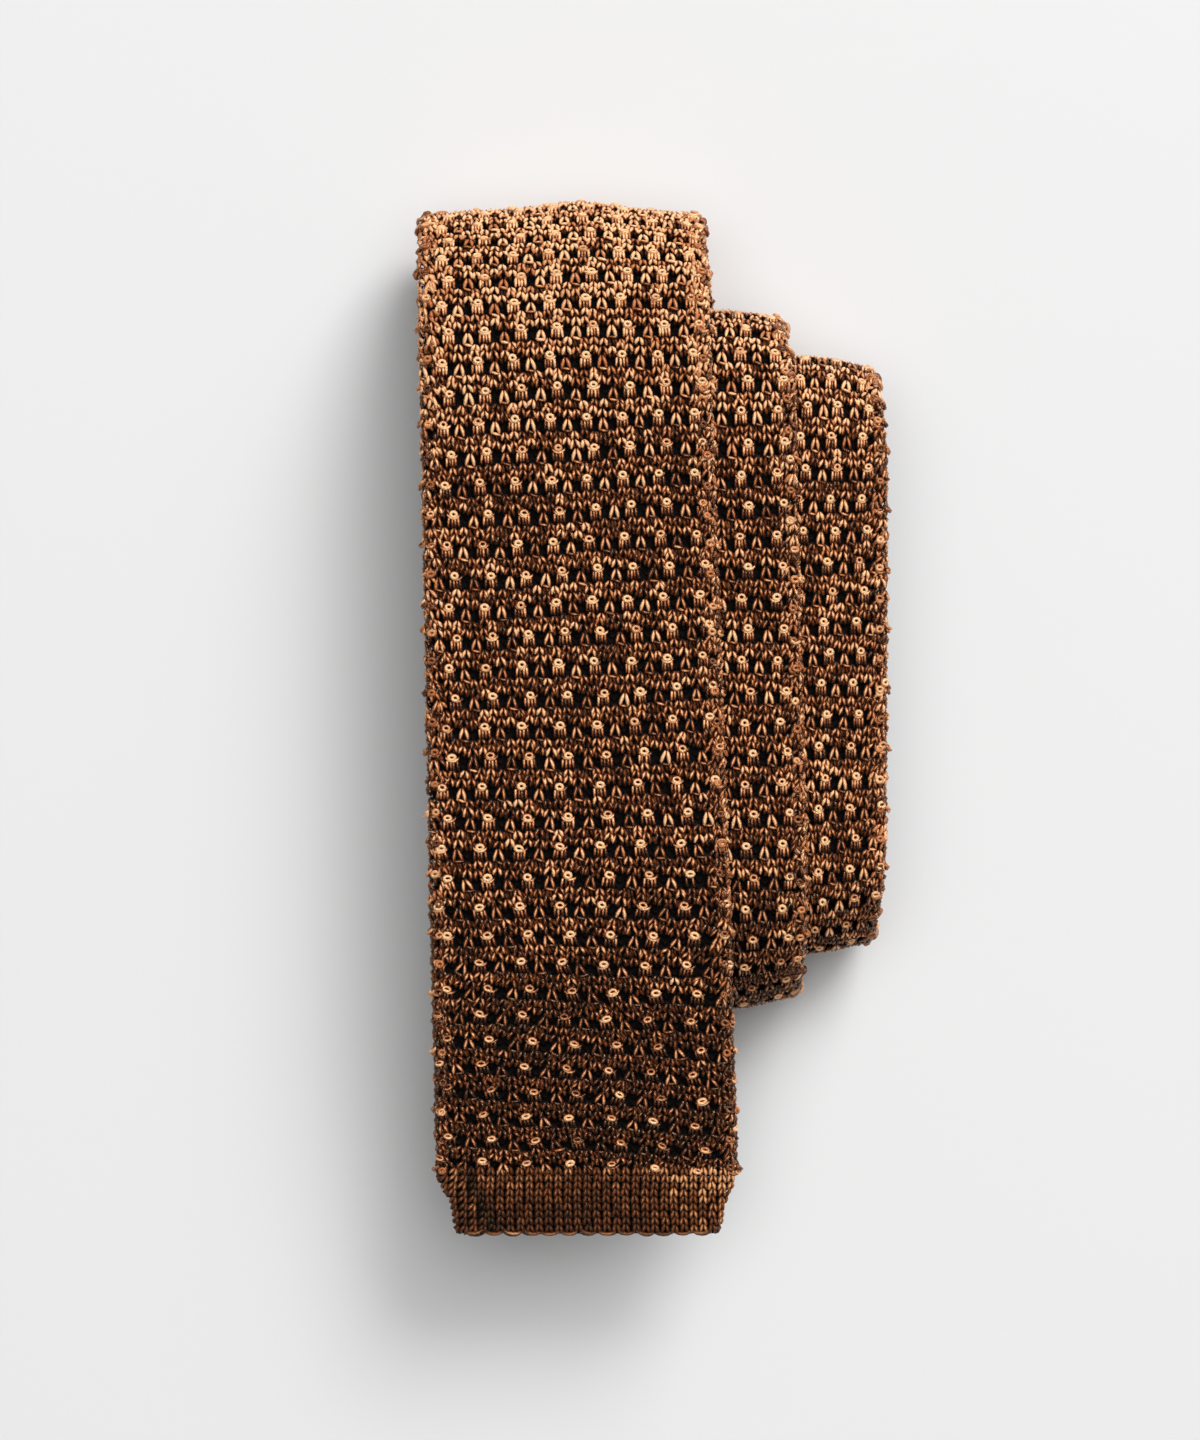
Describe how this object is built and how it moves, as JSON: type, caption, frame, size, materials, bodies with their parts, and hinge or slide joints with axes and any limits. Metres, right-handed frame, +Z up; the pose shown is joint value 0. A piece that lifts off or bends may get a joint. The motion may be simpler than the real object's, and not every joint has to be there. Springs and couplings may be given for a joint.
{
  "type": "folded knit tie",
  "caption": "Square-ended knitted silk necktie, pressed flat and folded up in a flat bundle, lying with its blade on top.",
  "frame": {"origin": "middle of the underside of the folded bundle's box, on the surface it lies on", "axes": "+Y along the blade, from its square end to the first fold; +X to the side the folds spread to; +Z up"},
  "size_m": [0.0964, 0.2144, 0.0373],
  "materials": {
    "open_knit": "glossy silk yarn in an open patterned knit, copper brown",
    "plain_knit": "glossy silk yarn in a close plain knit, copper brown"
  },
  "bodies": {
    "root": {"blade_end_band": "plain_knit", "blade": "open_knit", "neck": "open_knit", "tail": "open_knit", "tail_end_band": "plain_knit"}
  },
  "joints": []
}
